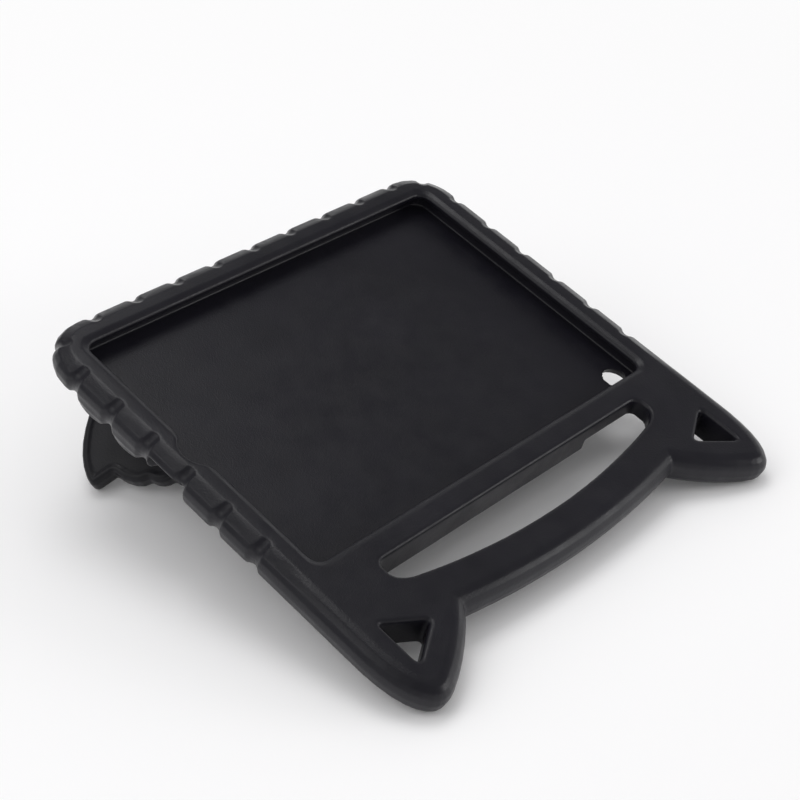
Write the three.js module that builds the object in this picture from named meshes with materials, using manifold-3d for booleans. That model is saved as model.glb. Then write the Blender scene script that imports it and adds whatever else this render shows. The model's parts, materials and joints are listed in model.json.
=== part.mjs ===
// Soft moulded case for a child: a foam tray with a lipped window, a carrying handle
// between two ears, and two folding wings on its back that prop it up on a floor.
// The case is drawn flat, X along its long side, Y towards its top side and Z out of its
// front, with Z = 0 just under the lip of the window. It is then tilted as it stands.
import * as THREE from "three";
import { mergeVertices } from "three/addons/utils/BufferGeometryUtils.js";
import Module from "manifold-3d";

const wasm = await Module();
wasm.setup();

// The flat device that the pocket is sized for, in mm
const DEVICE_LENGTH = 240;
const DEVICE_WIDTH = 169.5;
const DEVICE_THICKNESS = 7.5;
const DEVICE_CORNER = 9;
const DEVICE_CLEARANCE = 0.5;

// Tray
const SIDE_WALL = 13.5;
const TOP_WALL = 12.8;
const BACK_WALL = 5;
const LIP_RISE = 4.5;
const LIP_OVERLAP_X = 3.7;
const LIP_OVERLAP_Y = 3.9;
const LIP_FLARE = 0.9;
const OUTER_CORNER = 25;
const FRONT_ROUND = 8;
const BACK_ROUND = 7;

// Handle and ears, measured down from the lower edge of the pocket
const SLOT_RAIL = 9.7;
const SLOT_HEIGHT = 24.9;
const SLOT_SAG = 10;
const SLOT_HALF = 93.5;
const SLOT_CORNER = 4;
const BAR_WIDTH = 21.5;
const BAR_SAG = 6.2;
const EAR_DROP = 79.9;
const EAR_ROOT_INSET = 58;
const EAR_TIP_INSET = 15.3;
const EAR_TIP_ROUND = 7;
const EAR_SIDE_DROP = 43;
const EAR_HOLE_INSET = 16.5;
const EAR_HOLE_WIDTH = 21.2;
const EAR_HOLE_HEIGHT = 25.6;
const EAR_HOLE_TOP = 33.8;
const EAR_HOLE_ROUND = 3;
const EDGE_FLARE = 1.2;

// Grooves across the rim, round-bottomed with round ends
const GROOVE_RADIUS = 6;
const GROOVE_DEPTH = 1.6;
const GROOVE_DEPTH_AT_BACK = 2.5;
const GROOVE_RUN = 9.7;
const GROOVE_PITCH_ON_TOP = 25.5;
const GROOVE_PITCH_ON_SIDE = 25.1;
const GROOVE_SHIFT_ON_TOP = 1.2;
const GROOVE_SHIFT_ON_SIDE = 3.7;
const GROOVES_ON_TOP = 9;
const GROOVES_ON_SIDE = 6;

// Cut-outs
const BUTTON_BITE_WIDTH = 24;
const BUTTON_BITE_DEPTH = 7;
const BUTTON_BITE_KNEE = 3;
const BUTTON_BITE_LEAD_ABOVE = 5;
const BUTTON_BITE_LEAD_BELOW = 2;
const BUTTON_BITE_UNDER_LIP = 5;
const PORT_WIDTH = 24;
const PORT_ROOF = 3;
const VOLUME_START = 57;
const VOLUME_LENGTH = 46;
const VOLUME_ROOF = 5.5;
const VOLUME_REACH = 23;
const CAMERA_INSET_X = 11;
const CAMERA_INSET_Y = 12;
const CAMERA_RADIUS = 6;

// Folding wings and their hinges
const WING_THICKNESS = 10.7;
const WING_EDGE = 2.4;
const WING_REACH = 111.5;
const WING_TIP = 58.8;
const WING_ROOT_TOP = 80;
const WING_ROOT_BOTTOM = -17;
const WING_CREST = 96;
const WING_LOBE_FULLNESS = 0.7;
const HINGE_HALF_SPACING = 22;
const WING_CLEARANCE = 0.45;
const LUG_THICKNESS = 11;
const PIN_RADIUS = 2;
const PIN_CLEARANCE = 0.3;
const PIN_IN_LUG = 8;

// How it stands
const STAND_TILT = THREE.MathUtils.degToRad(17.6);

const pocketHalfX = DEVICE_LENGTH / 2 + DEVICE_CLEARANCE;
const pocketHalfY = DEVICE_WIDTH / 2 + DEVICE_CLEARANCE;
const pocketRoof = 0.3;
const pocketFloor = -DEVICE_THICKNESS - 0.3;
const frontZ = LIP_RISE;
const backZ = pocketFloor - BACK_WALL;
const outerX = pocketHalfX + SIDE_WALL;
const outerTop = pocketHalfY + TOP_WALL;
const windowHalfX = DEVICE_LENGTH / 2 - LIP_OVERLAP_X;
const windowHalfY = DEVICE_WIDTH / 2 - LIP_OVERLAP_Y;
const slotTop = -pocketHalfY - SLOT_RAIL;
const slotBottom = slotTop - SLOT_HEIGHT;
const barBottom = slotBottom - BAR_WIDTH;
const earBottom = -pocketHalfY - EAR_DROP;
const earRootX = outerX - EAR_ROOT_INSET;
const earTipX = outerX - EAR_TIP_INSET;
const earSideY = -pocketHalfY - EAR_SIDE_DROP;
const wingHalf = WING_THICKNESS / 2;
const hingeZ = backZ - WING_CLEARANCE - wingHalf;

function vec(x, y) {
  return new THREE.Vector2(x, y);
}

function arc(cx, cy, radius, from, to, steps) {
  const list = [];
  for (let i = 0; i <= steps; i++) {
    const a = THREE.MathUtils.degToRad(from + ((to - from) * i) / steps);
    list.push(vec(cx + radius * Math.cos(a), cy + radius * Math.sin(a)));
  }
  return list;
}

function bend(start, control, end, steps) {
  return new THREE.QuadraticBezierCurve(start, control, end).getPoints(steps);
}

function mirrored(points) {
  return points.map((p) => vec(-p.x, p.y)).reverse();
}

function closed(points) {
  const list = points.filter((p, i) => p.distanceTo(points[(i + 1) % points.length]) > 0.01);
  return new THREE.Shape(list);
}

function roundedBox(halfX, halfY, radius, steps) {
  const x = halfX - radius;
  const y = halfY - radius;
  return closed([
    ...arc(x, y, radius, 0, 90, steps),
    ...arc(-x, y, radius, 90, 180, steps),
    ...arc(-x, -y, radius, 180, 270, steps),
    ...arc(x, -y, radius, 270, 360, steps),
  ]);
}

function roundedPolygon(corners, radius, steps) {
  const list = [];
  corners.forEach((corner, i) => {
    const before = corners[(i + corners.length - 1) % corners.length];
    const after = corners[(i + 1) % corners.length];
    const a = before.clone().sub(corner).setLength(radius).add(corner);
    const b = after.clone().sub(corner).setLength(radius).add(corner);
    list.push(...bend(a, corner, b, steps));
  });
  return closed(list);
}

function extruded(shape, depth, bevel) {
  return new THREE.ExtrudeGeometry(shape, { depth, bevelEnabled: false, ...bevel });
}

// A bevel that stays inside the drawn outline
function insideBevel(size, thickness, segments) {
  return {
    bevelEnabled: true,
    bevelSize: size,
    bevelOffset: -size,
    bevelThickness: thickness,
    bevelSegments: segments,
  };
}

function solid(geometry) {
  const bare = geometry.index ? geometry.clone() : geometry;
  bare.deleteAttribute("normal");
  bare.deleteAttribute("uv");
  const merged = mergeVertices(bare, 1e-4);
  const vertProperties = new Float32Array(merged.attributes.position.array);
  const triVerts = new Uint32Array(merged.index.array);
  return new wasm.Manifold(new wasm.Mesh({ numProp: 3, vertProperties, triVerts }));
}

function geometryOf(manifold) {
  const mesh = manifold.getMesh();
  const geometry = new THREE.BufferGeometry();
  geometry.setAttribute("position", new THREE.BufferAttribute(mesh.vertProperties, 3));
  geometry.setIndex(new THREE.BufferAttribute(mesh.triVerts, 1));
  return geometry;
}

// A straight cut through the full thickness, opened out a little at both faces
function throughCut(shape) {
  const over = 2;
  const straight = extruded(shape, frontZ - backZ + 2 * over).translate(0, 0, backZ - over);
  const flare = {
    bevelEnabled: true,
    bevelSize: EDGE_FLARE,
    bevelThickness: EDGE_FLARE,
    bevelSegments: 1,
  };
  const front = extruded(shape, over, flare).translate(0, 0, frontZ);
  const back = extruded(shape, over, flare).translate(0, 0, backZ - over);
  return solid(straight).add(solid(front)).add(solid(back));
}

function boxBetween(x0, x1, y0, y1, z0, z1) {
  const box = new THREE.BoxGeometry(x1 - x0, y1 - y0, z1 - z0);
  return box.translate((x0 + x1) / 2, (y0 + y1) / 2, (z0 + z1) / 2);
}

function outerShape() {
  const bar = [];
  const steps = 8;
  for (let i = 0; i <= steps; i++) {
    const x = earRootX * (1 - i / steps);
    bar.push(vec(x, barBottom + BAR_SAG * (x / earRootX) ** 2));
  }
  const tip = vec(earTipX, earBottom);
  const outerBelly = vec(outerX - 0.8, earBottom + 12.7);
  const innerBelly = vec(earTipX - 27.9, earBottom + 14.3);
  const tipStart = outerBelly.clone().sub(tip).setLength(EAR_TIP_ROUND).add(tip);
  const tipEnd = innerBelly.clone().sub(tip).setLength(EAR_TIP_ROUND * 1.4).add(tip);
  const half = [
    ...arc(outerX - OUTER_CORNER, outerTop - OUTER_CORNER, OUTER_CORNER, 90, 0, 6),
    ...bend(vec(outerX, earSideY), outerBelly, tipStart, 5),
    ...bend(tipStart, tip, tipEnd, 4),
    ...bend(tipEnd, innerBelly, bar[0], 5),
    ...bar,
  ];
  return closed([...half, ...mirrored(half)]);
}

function slotShape() {
  const lower = [];
  const steps = 8;
  const reach = SLOT_HALF - SLOT_CORNER * 2;
  for (let i = 0; i <= steps; i++) {
    const x = reach * (1 - i / steps);
    lower.push(vec(x, slotBottom + SLOT_SAG * (x / reach) ** 2));
  }
  const end = vec(SLOT_HALF, slotTop - SLOT_CORNER * 2);
  const half = [
    ...arc(SLOT_HALF - SLOT_CORNER, slotTop - SLOT_CORNER, SLOT_CORNER, 90, 0, 3),
    ...bend(end, vec(SLOT_HALF - 1, lower[0].y + 2.5), lower[0], 3),
    ...lower,
  ];
  return closed([...half, ...mirrored(half)]);
}

function earHoleShape(side) {
  const x = side * (outerX - EAR_HOLE_INSET);
  const top = -pocketHalfY - EAR_HOLE_TOP;
  const corners = [
    vec(x, top),
    vec(x - side * EAR_HOLE_WIDTH, top - EAR_HOLE_HEIGHT * 0.47),
    vec(x, top - EAR_HOLE_HEIGHT),
  ];
  return roundedPolygon(corners, EAR_HOLE_ROUND, 2);
}

// The lip steps back round the button in a smooth curve, more gently on its upper side
function biteShape() {
  const edge = -windowHalfX;
  const half = BUTTON_BITE_WIDTH / 2;
  const bottom = edge - BUTTON_BITE_DEPTH;
  const side = (way, lead) => {
    const knee = vec(edge - BUTTON_BITE_KNEE, way * (half - BUTTON_BITE_KNEE));
    return [
      vec(edge + 1, way * (half + lead)),
      ...bend(vec(edge, way * (half + lead)), vec(edge, way * half), knee, 4),
      ...bend(knee, vec(bottom, way * (half - BUTTON_BITE_DEPTH)), vec(bottom, 0), 5),
    ];
  };
  return closed([...side(1, BUTTON_BITE_LEAD_ABOVE), ...side(-1, BUTTON_BITE_LEAD_BELOW).reverse()]);
}

// A groove starts with a round end on the front face, follows the rounded rim down the side
// and runs out under the back. It is drawn along +X and turned to face the way it crosses.
function grooveCut(edge, angle, along) {
  const halfWidth = Math.sqrt(GROOVE_DEPTH * (2 * GROOVE_RADIUS - GROOVE_DEPTH));
  const startAngle = Math.acos((FRONT_ROUND - GROOVE_RUN + halfWidth) / FRONT_ROUND);
  const middle = frontZ - FRONT_ROUND;
  const points = [];
  const steps = 4;
  for (let i = 0; i < steps; i++) {
    const a = startAngle * (1 - i / steps);
    const reach = FRONT_ROUND + GROOVE_RADIUS - GROOVE_DEPTH;
    const x = edge - FRONT_ROUND + reach * Math.cos(a);
    points.push(new THREE.Vector3(x, 0, middle + reach * Math.sin(a)));
  }
  for (let i = 0; i <= steps; i++) {
    const a = THREE.MathUtils.degToRad(80 * i / steps);
    const out = GROOVE_RADIUS - THREE.MathUtils.lerp(GROOVE_DEPTH, GROOVE_DEPTH_AT_BACK, i / steps);
    const x = edge - BACK_ROUND + (BACK_ROUND + out) * Math.cos(a);
    points.push(new THREE.Vector3(x, 0, middle - (middle - backZ + out) * Math.sin(a)));
  }
  const ring = closed(arc(0, 0, GROOVE_RADIUS, 0, 336, 14));
  const extrudePath = new THREE.CatmullRomCurve3(points);
  let cut = solid(new THREE.ExtrudeGeometry(ring, { extrudePath, steps: 7 }));
  for (const end of [points[0], points[points.length - 1]]) {
    cut = cut.add(solid(new THREE.SphereGeometry(GROOVE_RADIUS, 15, 9).translate(end.x, 0, end.z)));
  }
  return cut.translate(0, along, 0).rotate([0, 0, angle]);
}

function rowPlaces(count, pitch) {
  return Array.from({ length: count }, (_, i) => (i - (count - 1) / 2) * pitch);
}

function cutGrooves(body) {
  let result = body;
  for (const place of rowPlaces(GROOVES_ON_TOP, GROOVE_PITCH_ON_TOP)) {
    result = result.subtract(grooveCut(outerTop, 90, -place - GROOVE_SHIFT_ON_TOP));
  }
  for (const place of rowPlaces(GROOVES_ON_SIDE, GROOVE_PITCH_ON_SIDE)) {
    result = result.subtract(grooveCut(outerX, 0, place + GROOVE_SHIFT_ON_SIDE));
    result = result.subtract(grooveCut(outerX, 180, -place - GROOVE_SHIFT_ON_SIDE));
  }
  const cx = outerX - OUTER_CORNER;
  const cy = outerTop - OUTER_CORNER;
  const reach = (cx + cy) / Math.SQRT2 + OUTER_CORNER;
  const offset = (cx - cy) / Math.SQRT2;
  result = result.subtract(grooveCut(reach, 45, -offset));
  return result.subtract(grooveCut(reach, 135, offset));
}

// Hinge carrier moulded on the back: a spine between the wings, and a lug past each end of
// them that holds the pins.
function hingeCarrier() {
  const sunk = 1;
  const top = backZ + sunk;
  const edge = HINGE_HALF_SPACING + wingHalf;
  const profile = closed([
    vec(edge, top),
    ...arc(HINGE_HALF_SPACING, hingeZ, wingHalf, 0, -90, 4),
    ...arc(-HINGE_HALF_SPACING, hingeZ, wingHalf, -90, -180, 4),
    vec(-edge, top),
  ]);
  const upperY = WING_ROOT_TOP + PIN_CLEARANCE;
  const lowerY = WING_ROOT_BOTTOM - PIN_CLEARANCE - LUG_THICKNESS;
  const lug = () => extruded(profile, LUG_THICKNESS).rotateX(Math.PI / 2);
  const upper = lug().translate(0, upperY + LUG_THICKNESS, 0);
  const lower = lug().translate(0, lowerY + LUG_THICKNESS, 0);
  const spineX = HINGE_HALF_SPACING - wingHalf - PIN_CLEARANCE;
  const spine = boxBetween(-spineX, spineX, lowerY + 1, upperY + 1, hingeZ - wingHalf, top);
  return solid(upper).add(solid(lower)).add(solid(spine));
}

function pinLength() {
  return WING_ROOT_TOP - WING_ROOT_BOTTOM + 2 * (PIN_IN_LUG - PIN_CLEARANCE);
}

function pinBore(x) {
  const length = pinLength() + 4 * PIN_CLEARANCE;
  const boreRadius = PIN_RADIUS + PIN_CLEARANCE;
  const bore = new THREE.CylinderGeometry(boreRadius, boreRadius, length, 12);
  return solid(bore.translate(x, (WING_ROOT_TOP + WING_ROOT_BOTTOM) / 2, hingeZ));
}

function buildCase() {
  const outline = outerShape();
  const rounded = insideBevel(FRONT_ROUND, FRONT_ROUND, 4);
  const tapered = insideBevel(BACK_ROUND, frontZ - FRONT_ROUND - backZ, 3);
  const spare = 30;
  const deep = frontZ - backZ + spare;
  const front = extruded(outline, deep, rounded).translate(0, 0, frontZ - FRONT_ROUND - deep);
  const back = extruded(outline, deep, tapered).translate(0, 0, frontZ - FRONT_ROUND);
  let body = solid(front).intersect(solid(back));

  const pocket = roundedBox(pocketHalfX, pocketHalfY, DEVICE_CORNER, 4);
  body = body.subtract(solid(extruded(pocket, pocketRoof - pocketFloor).translate(0, 0, pocketFloor)));

  const flare = {
    bevelEnabled: true,
    bevelSize: LIP_FLARE,
    bevelThickness: LIP_FLARE,
    bevelSegments: 1,
  };
  const window = roundedBox(windowHalfX, windowHalfY, DEVICE_CORNER - 3, 4);
  body = body.subtract(solid(extruded(window, frontZ - pocketFloor).translate(0, 0, pocketFloor + 1)));
  body = body.subtract(solid(extruded(window, 4, flare).translate(0, 0, frontZ)));

  body = body.subtract(throughCut(slotShape()));
  body = body.subtract(throughCut(earHoleShape(1)));
  body = body.subtract(throughCut(earHoleShape(-1)));
  body = cutGrooves(body);

  const bite = extruded(biteShape(), BUTTON_BITE_UNDER_LIP + frontZ + 1);
  body = body.subtract(solid(bite.translate(0, 0, -BUTTON_BITE_UNDER_LIP)));
  body = body.subtract(solid(extruded(biteShape(), 4, flare).translate(0, 0, frontZ)));

  const portTop = frontZ - FRONT_ROUND + PORT_ROOF - 1;
  const half = PORT_WIDTH / 2;
  const port = boxBetween(-outerX - 5, -pocketHalfX + 5, -half, half, pocketFloor, portTop);
  body = body.subtract(solid(port));
  const portFloor = boxBetween(-outerX - 5, -pocketHalfX + 1, -half, half, backZ - 5, portTop - 1);
  body = body.subtract(solid(portFloor));

  const notchTop = -VOLUME_ROOF;
  const volume = roundedPolygon([
    vec(VOLUME_START, -pocketHalfY + 1),
    vec(VOLUME_START, -pocketHalfY - VOLUME_REACH),
    vec(VOLUME_START + VOLUME_LENGTH, -pocketHalfY - VOLUME_REACH),
    vec(VOLUME_START + VOLUME_LENGTH, -pocketHalfY + 1),
  ], SLOT_CORNER, 3);
  body = body.subtract(solid(extruded(volume, notchTop - backZ + 5).translate(0, 0, backZ - 5)));

  const lens = new THREE.CylinderGeometry(CAMERA_RADIUS, CAMERA_RADIUS + 3, BACK_WALL + 2, 16);
  lens.rotateX(Math.PI / 2);
  const lensX = DEVICE_LENGTH / 2 - CAMERA_INSET_X;
  const lensY = -DEVICE_WIDTH / 2 + CAMERA_INSET_Y;
  body = body.subtract(solid(lens.translate(lensX, lensY, (pocketFloor + backZ) / 2)));

  body = body.add(hingeCarrier());
  body = body.subtract(pinBore(HINGE_HALF_SPACING));
  return geometryOf(body.subtract(pinBore(-HINGE_HALF_SPACING)));
}

// Outline of one wing, x outwards from its hinge. The lower edge steps in as a row of lobes.
function wingShape() {
  const shoulder = vec(WING_REACH - 32, WING_CREST - 0.8);
  const top = [
    vec(0, WING_ROOT_TOP),
    ...bend(vec(wingHalf + 3, WING_ROOT_TOP), vec(30, WING_CREST), vec(WING_REACH - 42, WING_CREST), 5),
    ...bend(shoulder, vec(WING_REACH - 7, WING_TIP + 24), vec(WING_REACH - 1, WING_TIP + 7), 6),
    ...arc(WING_REACH - 3, WING_TIP + 3, 3, 0, -90, 3),
  ];
  const notches = [
    vec(WING_REACH - 12, WING_TIP - 1.8),
    vec(WING_REACH - 22, WING_TIP - 18),
    vec(WING_REACH - 30, WING_TIP - 26.5),
    vec(WING_REACH - 44, WING_TIP - 42.5),
    vec(WING_REACH - 62, WING_TIP - 57),
    vec(WING_REACH - 83, WING_TIP - 69),
    vec(0, WING_ROOT_BOTTOM),
  ];
  const lobes = [];
  for (let i = 0; i < notches.length - 1; i++) {
    const corner = vec(notches[i].x, notches[i + 1].y);
    const middle = notches[i].clone().lerp(notches[i + 1], 0.5);
    lobes.push(...bend(notches[i], middle.lerp(corner, WING_LOBE_FULLNESS), notches[i + 1], 4));
  }
  return [...top, ...lobes];
}

function buildWing(side) {
  const outline = wingShape().map((p) => vec(side * p.x, p.y));
  const round = insideBevel(WING_EDGE, WING_EDGE, 2);
  const plate = extruded(closed(outline), WING_THICKNESS - 2 * WING_EDGE, round);
  plate.translate(0, 0, WING_EDGE - wingHalf);
  const rootLength = WING_ROOT_TOP - WING_ROOT_BOTTOM;
  const rootY = (WING_ROOT_TOP + WING_ROOT_BOTTOM) / 2;
  const barrel = new THREE.CylinderGeometry(wingHalf, wingHalf, rootLength, 16);
  const boreRadius = PIN_RADIUS + PIN_CLEARANCE;
  const bore = new THREE.CylinderGeometry(boreRadius, boreRadius, rootLength + 20, 12);
  const trimmed = solid(plate).intersect(solid(boxBetween(
    Math.min(0, side * 200), Math.max(0, side * 200), -200, 200, -50, 50)));
  const wing = trimmed.add(solid(barrel.translate(0, rootY, 0)));
  return geometryOf(wing.subtract(solid(bore.translate(0, rootY, 0))));
}

// Height of the lowest point of a geometry over the floor plane of the tilted case
function lowest(geometry, matrix) {
  const tilted = new THREE.Matrix4().makeRotationX(STAND_TILT).multiply(matrix);
  const position = geometry.attributes.position;
  const point = new THREE.Vector3();
  let low = Infinity;
  for (let i = 0; i < position.count; i++) {
    low = Math.min(low, point.fromBufferAttribute(position, i).applyMatrix4(tilted).z);
  }
  return low;
}

function wingMatrix(side, angle) {
  const turn = new THREE.Matrix4().makeRotationY(side * angle);
  return new THREE.Matrix4().makeTranslation(side * HINGE_HALF_SPACING, 0, hingeZ).multiply(turn);
}

const caseGeometry = buildCase();
const wingGeometry = { 1: buildWing(1), [-1]: buildWing(-1) };
const floorLevel = lowest(caseGeometry, new THREE.Matrix4());

// The wings open until their tips stand on the same floor as the ears
let openLow = 0;
let openHigh = Math.PI / 2;
for (let i = 0; i < 40; i++) {
  const middle = (openLow + openHigh) / 2;
  if (lowest(wingGeometry[1], wingMatrix(1, middle)) > floorLevel) openLow = middle;
  else openHigh = middle;
}
const wingAngle = (openLow + openHigh) / 2;

const foam = new THREE.MeshStandardMaterial({ color: 0x252527, roughness: 0.62, metalness: 0 });
const wingFoam = new THREE.MeshStandardMaterial({ color: 0x232325, roughness: 0.62, metalness: 0 });
const steel = new THREE.MeshStandardMaterial({ color: 0x9a9a9c, roughness: 0.35, metalness: 1 });

const stand = new THREE.Group();
const tilted = new THREE.Group();
tilted.rotation.x = STAND_TILT;
stand.add(tilted);

function place(name, geometry, material, parent) {
  const mesh = new THREE.Mesh(geometry, material);
  mesh.name = name;
  parent.add(mesh);
  return mesh;
}

place("case_body", caseGeometry, foam, tilted);
for (const [side, label] of [[-1, "left"], [1, "right"]]) {
  const hinge = new THREE.Group();
  hinge.position.set(side * HINGE_HALF_SPACING, 0, hingeZ);
  tilted.add(hinge);
  const rod = new THREE.CylinderGeometry(PIN_RADIUS, PIN_RADIUS, pinLength(), 12);
  const pin = place(`hinge_pin_${label}`, rod, steel, hinge);
  pin.position.y = (WING_ROOT_TOP + WING_ROOT_BOTTOM) / 2;
  const turning = new THREE.Group();
  turning.rotation.y = side * wingAngle;
  hinge.add(turning);
  place(`stand_wing_${label}`, wingGeometry[side], wingFoam, turning);
}

// The model's origin is under the middle of its box, on the floor
stand.updateMatrixWorld(true);
const box = new THREE.Box3().setFromObject(stand, true);
tilted.position.set(-(box.min.x + box.max.x) / 2, -(box.min.y + box.max.y) / 2, -box.min.z);

export default stand;
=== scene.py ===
import bpy
import bmesh
import json
import math
import numpy as np
from mathutils import Matrix, Vector, kdtree


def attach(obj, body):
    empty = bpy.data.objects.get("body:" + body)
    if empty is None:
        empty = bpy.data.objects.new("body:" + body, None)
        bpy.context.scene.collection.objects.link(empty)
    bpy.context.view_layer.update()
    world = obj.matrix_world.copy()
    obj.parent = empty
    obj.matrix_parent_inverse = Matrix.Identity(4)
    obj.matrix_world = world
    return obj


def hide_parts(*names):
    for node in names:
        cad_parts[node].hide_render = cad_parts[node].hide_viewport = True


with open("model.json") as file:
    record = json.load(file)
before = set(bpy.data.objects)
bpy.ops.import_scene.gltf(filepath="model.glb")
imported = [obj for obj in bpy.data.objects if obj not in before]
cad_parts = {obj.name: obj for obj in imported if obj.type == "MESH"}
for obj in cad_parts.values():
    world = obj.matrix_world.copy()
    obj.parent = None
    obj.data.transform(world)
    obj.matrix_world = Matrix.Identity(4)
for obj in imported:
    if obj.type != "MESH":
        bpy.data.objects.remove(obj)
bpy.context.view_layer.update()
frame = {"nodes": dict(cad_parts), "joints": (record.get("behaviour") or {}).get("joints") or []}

MM = 0.001

# The case's straight frame has x along the long side, y towards the top wall and z out of the front
TILT = math.radians(17.6)
HINGE_Z = -18.6 * MM
WINDOW_X = 116.3 * MM
WINDOW_Y = 80.85 * MM
WINDOW_CORNER = 5 * MM
OUTER_X = 134 * MM
OUTER_TOP = 98.05 * MM
OUTER_CORNER = 25 * MM
FRONT_Z = 4.5 * MM
BACK_Z = -12.8 * MM
FRONT_ROUND = 8 * MM

# The finer copies of solids: the crisp one takes over from the soft one between EDGE_LOW and
# EDGE_HIGH, which say how far the two lie apart
VOXEL = 0.6 * MM
SAME_POINT = 0.001 * MM
SMOOTH_SHARE = 0.5
CRISP_PASSES = 2
CASE_PASSES = 7
WING_PASSES = 8
EDGE_LOW = 0.07 * MM
EDGE_HIGH = 0.13 * MM
CASE_TRIANGLES = 185000

# The flat band along the walls' front rounding, which fades in above the ears
BAND_ANGLE = math.radians(48)
EAR_START = -95 * MM
EAR_FADE = 25 * MM
TINY = 1e-9

# Two blocks with a fuller lower edge, each from one groove to the next. The bulge grows between
# the two insets from the case's side
FULL_BLOCKS = ((16.25 * MM, 41.35 * MM), (41.35 * MM, 66.45 * MM))
FULL_BY = 5 * MM
FULL_START_INSET = 14 * MM
FULL_END_INSET = 7 * MM

# The slope of the front face to the window's edge, and the heights between which it sets in
SLOPE_DROP = 1.0 * MM
SLOPE_DEEPEST_TO = 0.3 * MM
SLOPE_REACH = 4.0 * MM
SLOPE_PAST_EDGE = 1.5 * MM
FACE_LOW = 2.0 * MM
FACE_HIGH = 3.6 * MM

# The waviness of a moulding: its length, its height and the seed of its waves
CASE_WAVE = (46 * MM, 0.1 * MM, 3)
WING_WAVE = (30 * MM, 0.06 * MM, 11)
WAVES = 7
WAVE_SPREAD = (0.7, 1.6)
WAVE_PHASES = 6.28

# A wing's sunk panel starts inside a rim. Where the normal's share of z is below EDGE_SLANT the
# surface is the wing's edge, and between FLAT_LOW and FLAT_HIGH it turns into a flat face
RIM_START = 2.2 * MM
RIM_END = 4.6 * MM
PANEL_DEPTH = 0.8 * MM
EDGE_SLANT = 0.55
FLAT_LOW = 0.8
FLAT_HIGH = 0.97

# A pin's face is on its round side where its normal points along the pin by less than this share
PIN_ROUND_SIDE = 0.5

FLOOR_HALF = 6.0
FLOOR_DROP = 0.2 * MM
FLOOR_FADE_START = 0.3
FLOOR_FADE_END = 1.1

# Each lamp's name, place, size and power
LAMPS = (
    ("overhead", (0.2, 0.5, 1.7), 0.9, 6.8),
    ("left_side", (-1.1, 0.32, 1.15), 1.0, 3.6),
    ("right_front", (0.9, -1.1, 0.4), 0.5, 3.0),
)

CAMERA_PLACE = (-0.5256, -0.49075, 0.48694)
CAMERA_FORWARD = (0.62003, 0.58504, -0.52277)
CAMERA_LENS = 77.715

joints = {j["name"]: j for j in frame["joints"]}
hinges = {side: Vector(joints["wing_" + side + "_fold"]["pos_m"]) for side in ("left", "right")}
turn = Matrix.Rotation(TILT, 4, "X")
upright = turn.to_3x3()
origin = hinges["right"] - upright @ Vector((hinges["right"].x, 0, HINGE_Z))
case_to_row = Matrix.Translation(origin) @ turn


# Meshes

def collection_object(name, data):
    obj = bpy.data.objects.new(name, data)
    bpy.context.scene.collection.objects.link(obj)
    return obj


def with_modifiers(mesh, name, settings):
    """The mesh after a list of modifiers, each given as its type and its values."""
    obj = collection_object(name + "_work", mesh)
    for kind, values in settings:
        modifier = obj.modifiers.new(kind.lower(), kind)
        for key, value in values.items():
            setattr(modifier, key, value)
    depsgraph = bpy.context.evaluated_depsgraph_get()
    result = bpy.data.meshes.new_from_object(obj.evaluated_get(depsgraph))
    result.name = name
    bpy.data.objects.remove(obj)
    return result


def smoothed(mesh, name, passes):
    return with_modifiers(mesh, name, [("SMOOTH", {"factor": SMOOTH_SHARE, "iterations": passes})])


def moulded_copy(node, name, local_to_row, passes):
    """A finer copy of a solid in its own straight frame: facets smoothed away, edges kept crisp."""
    mesh = frame["nodes"][node].data.copy()
    mesh.transform(local_to_row.inverted())
    bm = bmesh.new()
    bm.from_mesh(mesh)
    bmesh.ops.remove_doubles(bm, verts=bm.verts, dist=SAME_POINT)
    bm.to_mesh(mesh)
    bm.free()
    remesh = {"mode": "VOXEL", "voxel_size": VOXEL, "adaptivity": 0.0}
    even = with_modifiers(mesh, name, [("REMESH", remesh)])
    crisp = smoothed(even, name, CRISP_PASSES)
    soft = smoothed(even, name, passes)
    sharp = coordinates(crisp)
    rounded = coordinates(soft)
    keep = ramp(np.linalg.norm(sharp - rounded, axis=1), EDGE_LOW, EDGE_HIGH)[:, None]
    set_coordinates(crisp, sharp * keep + rounded * (1 - keep))
    return crisp


def thinned(mesh, triangles):
    """The same surface with fewer faces, most of them where it bends."""
    share = triangles / sum(len(polygon.vertices) - 2 for polygon in mesh.polygons)
    return with_modifiers(mesh, mesh.name, [("DECIMATE", {"ratio": min(1.0, share)})])


def coordinates(mesh):
    out = np.empty(len(mesh.vertices) * 3)
    mesh.vertices.foreach_get("co", out)
    return out.reshape(-1, 3)


def normals(mesh):
    out = np.empty(len(mesh.vertices) * 3)
    mesh.vertex_normals.foreach_get("vector", out)
    return out.reshape(-1, 3)


def set_coordinates(mesh, values):
    mesh.vertices.foreach_set("co", values.reshape(-1))
    mesh.update()


def ramp(value, low, high):
    """A smooth rise from 0 at low to 1 at high."""
    t = np.clip((value - low) / (high - low), 0, 1)
    return t * t * (3 - 2 * t)


def uneven(points, scale, seed):
    """Slow, smooth waviness between -1 and 1, made of a few fixed waves."""
    rng = np.random.RandomState(seed)
    total = np.zeros(len(points))
    for _ in range(WAVES):
        direction = rng.normal(size=3)
        direction /= np.linalg.norm(direction)
        rate = 2 * math.pi / (scale * rng.uniform(*WAVE_SPREAD))
        total += np.sin(points @ direction * rate + rng.uniform(0, WAVE_PHASES))
    return total / WAVES


def make_wavy(points, facing, wave):
    """A moulding is never quite flat."""
    length, height, seed = wave
    points += facing * (uneven(points, length, seed) * height)[:, None]


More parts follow.
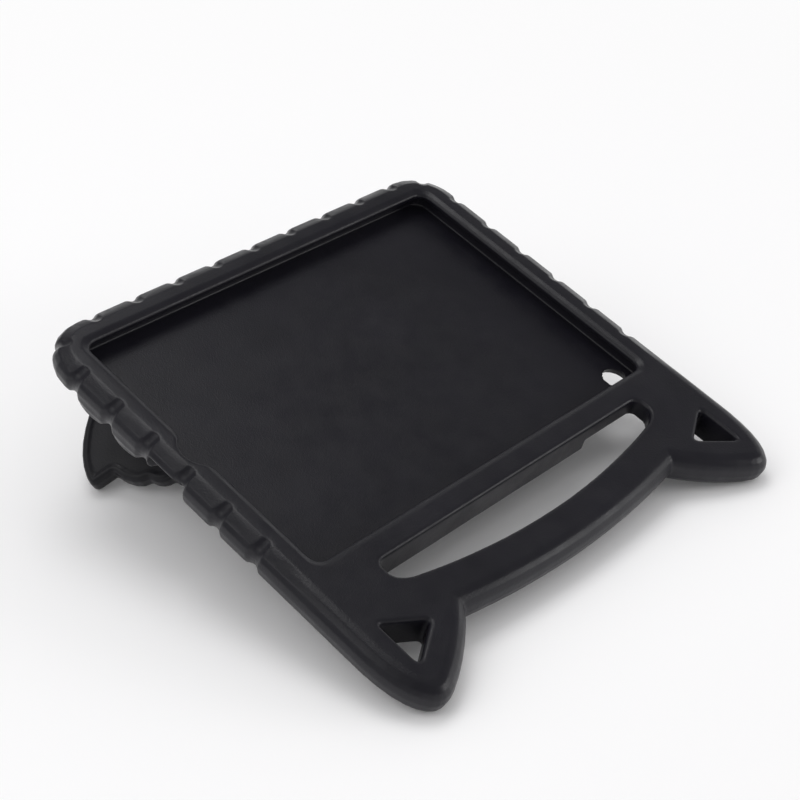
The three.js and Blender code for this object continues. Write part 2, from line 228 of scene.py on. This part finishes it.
def finish_piece(mesh, name, local_to_row, material, body, node):
    mesh.transform(local_to_row)
    mesh.materials.clear()
    mesh.materials.append(material)
    for polygon in mesh.polygons:
        polygon.use_smooth = True
    obj = collection_object(name, mesh)
    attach(obj, body)
    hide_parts(node)


# Materials

def new_material(name):
    material = bpy.data.materials.new(name)
    material.use_nodes = True
    tree = material.node_tree
    return material, tree, tree.nodes["Principled BSDF"]


def add_node(tree, kind, values, **settings):
    """A new shader node with its settings and the values of its inputs."""
    node = tree.nodes.new("ShaderNode" + kind)
    for key, value in settings.items():
        setattr(node, key, value)
    set_inputs(node, values)
    return node


def set_inputs(node, values):
    for key, value in values.items():
        node.inputs[key].default_value = value


def foam_material(name, dark, light, grain, shine):
    """Moulded closed-cell foam: a satin skin with a fine pebble, slow mottling and rubbed spots."""
    material, tree, shader = new_material(name)
    links = tree.links
    place = add_node(tree, "TexCoord", {}).outputs["Object"]

    mottle = add_node(tree, "TexNoise", {"Scale": 26, "Detail": 5, "Roughness": 0.6})
    links.new(place, mottle.inputs["Vector"])
    tint = add_node(tree, "ValToRGB", {})
    for stop, position, colour in zip(tint.color_ramp.elements, (0.32, 0.72), (dark, light)):
        stop.position = position
        stop.color = (*colour, 1)
    links.new(mottle.outputs["Fac"], tint.inputs["Fac"])
    links.new(tint.outputs["Color"], shader.inputs["Base Color"])

    rub = add_node(tree, "TexNoise", {"Scale": 85, "Detail": 3})
    links.new(place, rub.inputs["Vector"])
    gloss = add_node(tree, "MapRange", {"From Min": 0.3, "From Max": 0.7, "To Min": 0.3, "To Max": 0.42})
    links.new(rub.outputs["Fac"], gloss.inputs["Value"])
    links.new(gloss.outputs["Result"], shader.inputs["Roughness"])

    pebble = add_node(tree, "TexVoronoi", {"Scale": grain, "Smoothness": 0.6}, feature="SMOOTH_F1")
    links.new(place, pebble.inputs["Vector"])
    fine = add_node(tree, "TexNoise", {"Scale": grain * 0.45, "Detail": 4})
    links.new(place, fine.inputs["Vector"])
    bump_pebble = add_node(tree, "Bump", {"Strength": 0.16, "Distance": 0.0003})
    links.new(pebble.outputs["Distance"], bump_pebble.inputs["Height"])
    bump_fine = add_node(tree, "Bump", {"Strength": 0.12, "Distance": 0.0004})
    links.new(fine.outputs["Fac"], bump_fine.inputs["Height"])
    links.new(bump_pebble.outputs["Normal"], bump_fine.inputs["Normal"])
    links.new(bump_fine.outputs["Normal"], shader.inputs["Normal"])

    set_inputs(shader, {"Metallic": 0, "IOR": 1.47, "Specular IOR Level": shine})
    return material


def pin_material():
    """Turned steel: fine rings round the pin and slightly uneven polish."""
    material, tree, shader = new_material("pin_steel_turned")
    links = tree.links
    place = add_node(tree, "TexCoord", {}).outputs["Object"]
    rings = add_node(
        tree, "TexWave", {"Scale": 900, "Distortion": 1.5}, wave_type="BANDS", bands_direction="Y"
    )
    links.new(place, rings.inputs["Vector"])
    bump = add_node(tree, "Bump", {"Strength": 0.15, "Distance": 0.0001})
    links.new(rings.outputs["Fac"], bump.inputs["Height"])
    links.new(bump.outputs["Normal"], shader.inputs["Normal"])
    polish = add_node(tree, "TexNoise", {"Scale": 300})
    links.new(place, polish.inputs["Vector"])
    spread = add_node(tree, "MapRange", {"To Min": 0.24, "To Max": 0.42})
    links.new(polish.outputs["Fac"], spread.inputs["Value"])
    links.new(spread.outputs["Result"], shader.inputs["Roughness"])
    set_inputs(shader, {"Base Color": (0.56, 0.55, 0.54, 1), "Metallic": 1})
    return material


def floor_material():
    """A pale matt floor that turns white far from the object, for the camera and in reflections."""
    material, tree, shader = new_material("pale_floor")
    links = tree.links
    pale = {"Base Color": (0.955, 0.95, 0.957, 1), "Roughness": 0.6, "Specular IOR Level": 0.0}
    set_inputs(shader, pale)
    place = add_node(tree, "NewGeometry", {})
    length = add_node(tree, "VectorMath", {}, operation="LENGTH")
    links.new(place.outputs["Position"], length.inputs[0])
    far = add_node(tree, "MapRange", {"From Min": FLOOR_FADE_START, "From Max": FLOOR_FADE_END})
    links.new(length.outputs["Value"], far.inputs["Value"])
    seen = either_ray(tree, "Is Camera Ray", "Is Glossy Ray")
    weight = add_node(tree, "Math", {}, operation="MULTIPLY")
    links.new(far.outputs["Result"], weight.inputs[0])
    links.new(seen, weight.inputs[1])
    white = add_node(tree, "Emission", {"Color": (1, 1, 1, 1)})
    mix = add_node(tree, "MixShader", {})
    links.new(weight.outputs["Value"], mix.inputs["Fac"])
    links.new(shader.outputs["BSDF"], mix.inputs[1])
    links.new(white.outputs["Emission"], mix.inputs[2])
    links.new(mix.outputs["Shader"], tree.nodes["Material Output"].inputs["Surface"])
    return material


def either_ray(tree, first, second):
    """1 where the ray is of one of two kinds, and 0 elsewhere."""
    ray = add_node(tree, "LightPath", {})
    either = add_node(tree, "Math", {}, operation="MAXIMUM")
    tree.links.new(ray.outputs[first], either.inputs[0])
    tree.links.new(ray.outputs[second], either.inputs[1])
    return either.outputs["Value"]


# The moulded case

def flatten_edge(points):
    """The rounded front edge of the walls starts with a flat band, behind a soft crease."""
    edge_x = np.maximum(np.abs(points[:, 0]) - (OUTER_X - OUTER_CORNER), 0)
    edge_y = np.maximum(points[:, 1] - (OUTER_TOP - OUTER_CORNER), 0)
    from_centre = np.hypot(edge_x, edge_y)
    at_corner = (edge_x > 0) & (edge_y > 0)
    inset = OUTER_CORNER - np.where(at_corner, from_centre, np.maximum(edge_x, edge_y))
    wall_way = np.stack([edge_x >= edge_y, edge_y > edge_x], axis=1).astype(float)
    corner_way = np.stack([edge_x, edge_y], axis=1) / np.maximum(from_centre, TINY)[:, None]
    across = np.where(at_corner[:, None], corner_way, wall_way)
    across[:, 0] *= np.sign(points[:, 0])
    out = FRONT_ROUND - inset
    lean = BAND_ANGLE / 2
    over = np.maximum(out * math.sin(lean) + (points[:, 2] - FRONT_Z) * math.cos(lean), 0)
    over *= ramp(points[:, 1], EAR_START, EAR_START + EAR_FADE)
    points[:, :2] -= across * (over * math.sin(lean))[:, None]
    points[:, 2] -= over * math.cos(lean)


def fill_blocks(points):
    """Two blocks beside the charging port have a fuller lower edge."""
    low = np.clip((FRONT_Z - FRONT_ROUND - points[:, 2]) / (FRONT_Z - FRONT_ROUND - BACK_Z), 0, 1)
    near_side = ramp(np.abs(points[:, 0]), OUTER_X - FULL_START_INSET, OUTER_X - FULL_END_INSET)
    fuller = (1 - np.sqrt(1 - low * low)) * near_side
    for start, end in FULL_BLOCKS:
        along = np.clip((points[:, 1] - start) / (end - start), 0, 1)
        points[:, 0] += np.sign(points[:, 0]) * fuller * np.sin(math.pi * along) * FULL_BY


def slope_to_window(points):
    """The front face slopes down to the window's edge over a narrow band, with a slight crest."""
    gap_x = np.abs(points[:, 0]) - (WINDOW_X - WINDOW_CORNER)
    gap_y = np.abs(points[:, 1]) - (WINDOW_Y - WINDOW_CORNER)
    past_corner = np.hypot(np.maximum(gap_x, 0), np.maximum(gap_y, 0))
    from_window = past_corner + np.minimum(np.maximum(gap_x, gap_y), 0) - WINDOW_CORNER
    on_front = ramp(points[:, 2], FACE_LOW, FACE_HIGH)
    slope = 1 - ramp(from_window, SLOPE_DEEPEST_TO, SLOPE_REACH)
    near = from_window > -SLOPE_PAST_EDGE
    points[:, 2] -= on_front * slope * near * SLOPE_DROP


def make_case(material):
    mesh = moulded_copy("case_body", "case_shell", case_to_row, CASE_PASSES)
    points = coordinates(mesh)
    facing = normals(mesh)
    flatten_edge(points)
    fill_blocks(points)
    slope_to_window(points)
    make_wavy(points, facing, CASE_WAVE)
    set_coordinates(mesh, points)
    mesh = thinned(mesh, CASE_TRIANGLES)
    finish_piece(mesh, "case_shell", case_to_row, material, "case", "case_body")


# The folding wings and their pins

def wing_frame(hinge, node):
    """A wing's straight frame: z is square to its largest face, at the angle the leg stands open."""
    face = max(frame["nodes"][node].data.polygons, key=lambda polygon: polygon.area)
    across = upright.inverted() @ face.normal
    opened = math.atan(across.x / across.z)
    return Matrix.Translation(hinge) @ turn @ Matrix.Rotation(opened, 4, "Y")


def distance_to_edges(points, facing):
    """How far in from the wing's outline each point lies, seen square to its faces."""
    sides = np.where(np.abs(facing[:, 2]) < EDGE_SLANT)[0]
    tree = kdtree.KDTree(len(sides))
    for i in sides:
        tree.insert(Vector((points[i, 0], points[i, 1], 0)), int(i))
    tree.balance()
    return np.array([tree.find(Vector((x, y, 0)))[2] for x, y, _ in points])


def make_wing(hinge, body, node, name, material):
    local = wing_frame(hinge, node)
    mesh = moulded_copy(node, name, local, WING_PASSES)
    points = coordinates(mesh)
    facing = normals(mesh)
    # A raised rim runs round each face, and the panel inside it is a little lower
    flat = ramp(np.abs(facing[:, 2]), FLAT_LOW, FLAT_HIGH)
    panel = ramp(distance_to_edges(points, facing), RIM_START, RIM_END)
    points[:, 2] -= np.sign(facing[:, 2]) * (panel * flat * PANEL_DEPTH)
    make_wavy(points, facing, WING_WAVE)
    set_coordinates(mesh, points)
    finish_piece(mesh, name, local, material, body, node)


def dress_pin(node, material):
    """The pin keeps its solid, and only its round side is shaded smooth."""
    data = frame["nodes"][node].data
    data.materials.clear()
    data.materials.append(material)
    axis = upright @ Vector((0, 1, 0))
    for polygon in data.polygons:
        polygon.use_smooth = abs(polygon.normal.dot(axis)) < PIN_ROUND_SIDE


# Floor, background, light and camera

def make_floor():
    mesh = bpy.data.meshes.new("floor")
    signs = ((-1, -1), (1, -1), (1, 1), (-1, 1))
    mesh.from_pydata([(x * FLOOR_HALF, y * FLOOR_HALF, 0) for x, y in signs], [], [(0, 1, 2, 3)])
    mesh.materials.append(floor_material())
    floor = collection_object("floor", mesh)
    floor.location.z = -FLOOR_DROP


def make_world():
    """Reflections see a bright backdrop low down behind the case and a dimmer studio elsewhere."""
    world = bpy.data.worlds.new("studio")
    bpy.context.scene.world = world
    world.use_nodes = True
    tree = world.node_tree
    links = tree.links
    direction = add_node(tree, "TexCoord", {}).outputs["Generated"]

    parts = add_node(tree, "SeparateXYZ", {})
    links.new(direction, parts.inputs["Vector"])
    high_is_dark = {"From Min": 0.05, "From Max": 0.5, "To Min": 1.0, "To Max": 0.0}
    overhead = add_node(tree, "MapRange", high_is_dark)
    links.new(parts.outputs["Z"], overhead.inputs["Value"])
    towards_back = add_node(tree, "VectorMath", {1: (0.72, 0.69, 0)}, operation="DOT_PRODUCT")
    links.new(direction, towards_back.inputs[0])
    back_is_bright = {"From Min": 0.1, "From Max": 0.7, "To Min": 0.25, "To Max": 1.4}
    backdrop = add_node(tree, "MapRange", back_is_bright)
    links.new(towards_back.outputs["Value"], backdrop.inputs["Value"])
    studio = add_node(tree, "Math", {2: 0.22}, operation="MULTIPLY_ADD")
    links.new(overhead.outputs["Result"], studio.inputs[0])
    links.new(backdrop.outputs["Result"], studio.inputs[1])

    # Only reflections see the studio, and everything else is lit by one even level
    ray = add_node(tree, "LightPath", {})
    in_gloss = add_node(tree, "Mix", {"A": 0.72})
    links.new(ray.outputs["Is Glossy Ray"], in_gloss.inputs["Factor"])
    links.new(studio.outputs["Value"], in_gloss.inputs["B"])

    # The camera, and anything seen through, gets plain white
    plain_white = either_ray(tree, "Is Camera Ray", "Is Transmission Ray")
    level = add_node(tree, "Mix", {"B": 1.0})
    links.new(plain_white, level.inputs["Factor"])
    links.new(in_gloss.outputs["Result"], level.inputs["A"])
    background = tree.nodes["Background"]
    background.inputs["Color"].default_value = (1, 1, 1, 1)
    links.new(level.outputs["Result"], background.inputs["Strength"])


def soft_light(name, place, size, power):
    """A square lamp that shines at the origin."""
    data = bpy.data.lights.new(name, "AREA")
    data.shape = "SQUARE"
    data.size = size
    data.energy = power
    lamp = collection_object(name, data)
    lamp.location = place
    lamp.rotation_euler = (-Vector(place)).to_track_quat("-Z", "Y").to_euler()


def make_camera():
    """The camera stands where the photograph was taken from."""
    view = bpy.data.cameras.new("photo_view")
    view.sensor_fit = "HORIZONTAL"
    view.sensor_width = 36
    view.lens = CAMERA_LENS
    view.clip_start = 0.01
    view.clip_end = 50
    camera = collection_object("photo_view", view)
    camera.location = CAMERA_PLACE
    camera.rotation_euler = Vector(CAMERA_FORWARD).to_track_quat("-Z", "Y").to_euler()
    bpy.context.scene.camera = camera


case_foam = foam_material(
    "case_foam_skin", dark=(0.0068, 0.0063, 0.01), light=(0.0097, 0.009, 0.0138), grain=1500, shine=0.4
)
wing_foam = foam_material(
    "wing_foam_skin", dark=(0.0098, 0.0095, 0.012), light=(0.0138, 0.0133, 0.0166), grain=1500, shine=0.3
)
pin_steel = pin_material()

make_case(case_foam)
for side, hinge in hinges.items():
    make_wing(hinge, "wing_" + side, "stand_wing_" + side, "wing_leg_" + side, wing_foam)
    dress_pin("hinge_pin_" + side, pin_steel)

make_floor()
make_world()
for lamp in LAMPS:
    soft_light(*lamp)
make_camera()
bpy.context.scene.view_settings.view_transform = "Standard"

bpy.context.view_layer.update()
